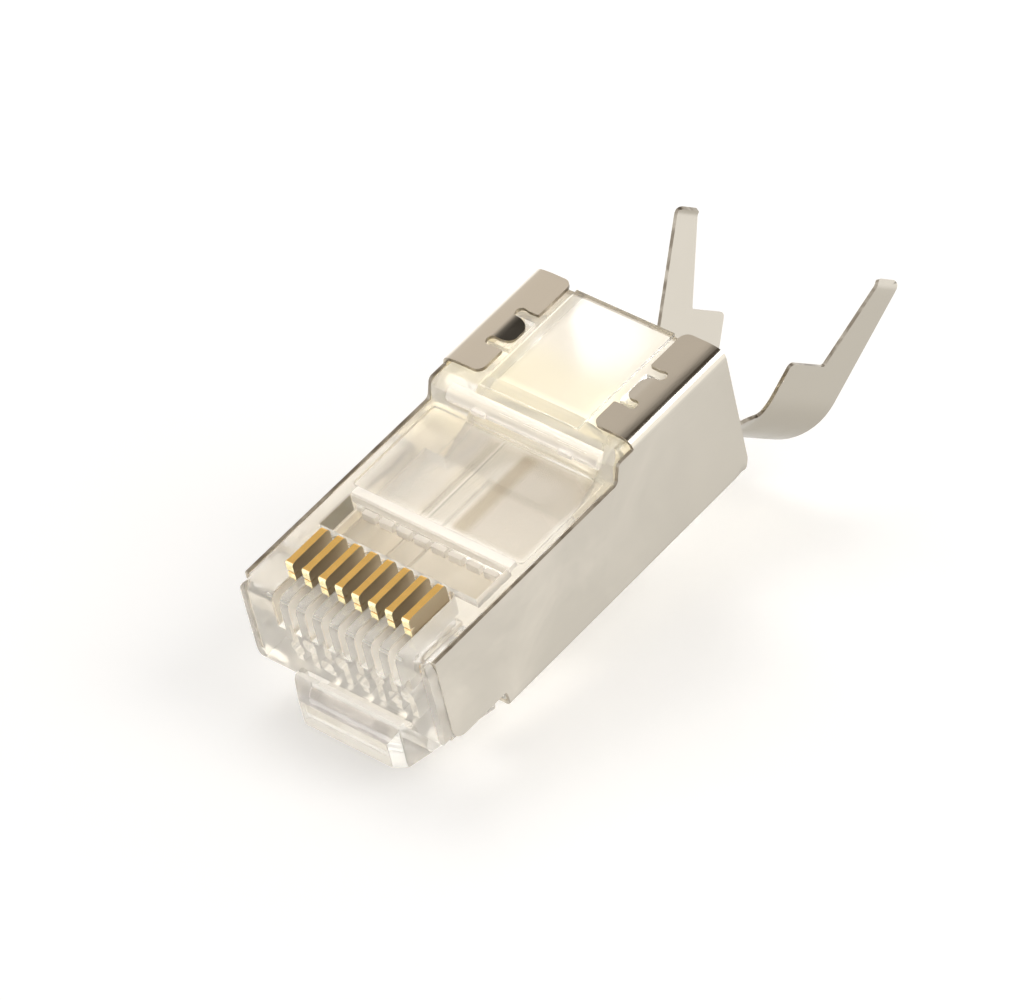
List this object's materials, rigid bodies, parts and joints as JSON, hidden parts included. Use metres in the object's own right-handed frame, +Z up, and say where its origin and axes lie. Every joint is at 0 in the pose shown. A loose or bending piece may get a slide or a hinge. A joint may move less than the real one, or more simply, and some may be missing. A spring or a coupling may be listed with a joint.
{
  "type": "modular plug",
  "caption": "Shielded modular plug with a clear body, gold blade contacts, a spring latch and a sheet metal shell that ends in a crimp clamp for the cable.",
  "frame": {"origin": "bottom centre of the plug's bounding box as it lies on its latch", "axes": "+Z up, +Y from the mating nose to the cable, +X to the side of contact 1; the body is nose down by the latch's free angle of 14 degrees"},
  "size_m": [0.0116, 0.035, 0.0142],
  "materials": {
    "clear_plastic": "clear, moulded",
    "nickel": "nickel plated sheet",
    "gold_contact": "gold plated"
  },
  "bodies": {
    "body": {"housing": "clear_plastic", "shield": "nickel"},
    "latch": {"latch": "clear_plastic"},
    "contact_1": {"contact_1": "gold_contact"},
    "contact_2": {"contact_2": "gold_contact"},
    "contact_3": {"contact_3": "gold_contact"},
    "contact_4": {"contact_4": "gold_contact"},
    "contact_5": {"contact_5": "gold_contact"},
    "contact_6": {"contact_6": "gold_contact"},
    "contact_7": {"contact_7": "gold_contact"},
    "contact_8": {"contact_8": "gold_contact"}
  },
  "joints": [
    {"name": "latch_bend", "type": "hinge", "parent": "body", "child": "latch", "pos_m": [0, -0.01439, 0.00055], "axis": [1, 0, 0], "range_deg": [0, 11], "stiffness_Nm_per_rad": 0.1},
    {"name": "contact_1_crimp", "type": "slide", "parent": "body", "child": "contact_1", "axis": [0, 0.2419, -0.9703], "range_m": [0, 0.00125]},
    {"name": "contact_2_crimp", "type": "slide", "parent": "body", "child": "contact_2", "axis": [0, 0.2419, -0.9703], "range_m": [0, 0.00125]},
    {"name": "contact_3_crimp", "type": "slide", "parent": "body", "child": "contact_3", "axis": [0, 0.2419, -0.9703], "range_m": [0, 0.00125]},
    {"name": "contact_4_crimp", "type": "slide", "parent": "body", "child": "contact_4", "axis": [0, 0.2419, -0.9703], "range_m": [0, 0.00125]},
    {"name": "contact_5_crimp", "type": "slide", "parent": "body", "child": "contact_5", "axis": [0, 0.2419, -0.9703], "range_m": [0, 0.00125]},
    {"name": "contact_6_crimp", "type": "slide", "parent": "body", "child": "contact_6", "axis": [0, 0.2419, -0.9703], "range_m": [0, 0.00125]},
    {"name": "contact_7_crimp", "type": "slide", "parent": "body", "child": "contact_7", "axis": [0, 0.2419, -0.9703], "range_m": [0, 0.00125]},
    {"name": "contact_8_crimp", "type": "slide", "parent": "body", "child": "contact_8", "axis": [0, 0.2419, -0.9703], "range_m": [0, 0.00125]}
  ],
  "couplings": [
    {"joint": "contact_2_crimp", "follows": "contact_1_crimp", "ratio": 1},
    {"joint": "contact_3_crimp", "follows": "contact_1_crimp", "ratio": 1},
    {"joint": "contact_4_crimp", "follows": "contact_1_crimp", "ratio": 1},
    {"joint": "contact_5_crimp", "follows": "contact_1_crimp", "ratio": 1},
    {"joint": "contact_6_crimp", "follows": "contact_1_crimp", "ratio": 1},
    {"joint": "contact_7_crimp", "follows": "contact_1_crimp", "ratio": 1},
    {"joint": "contact_8_crimp", "follows": "contact_1_crimp", "ratio": 1}
  ]
}
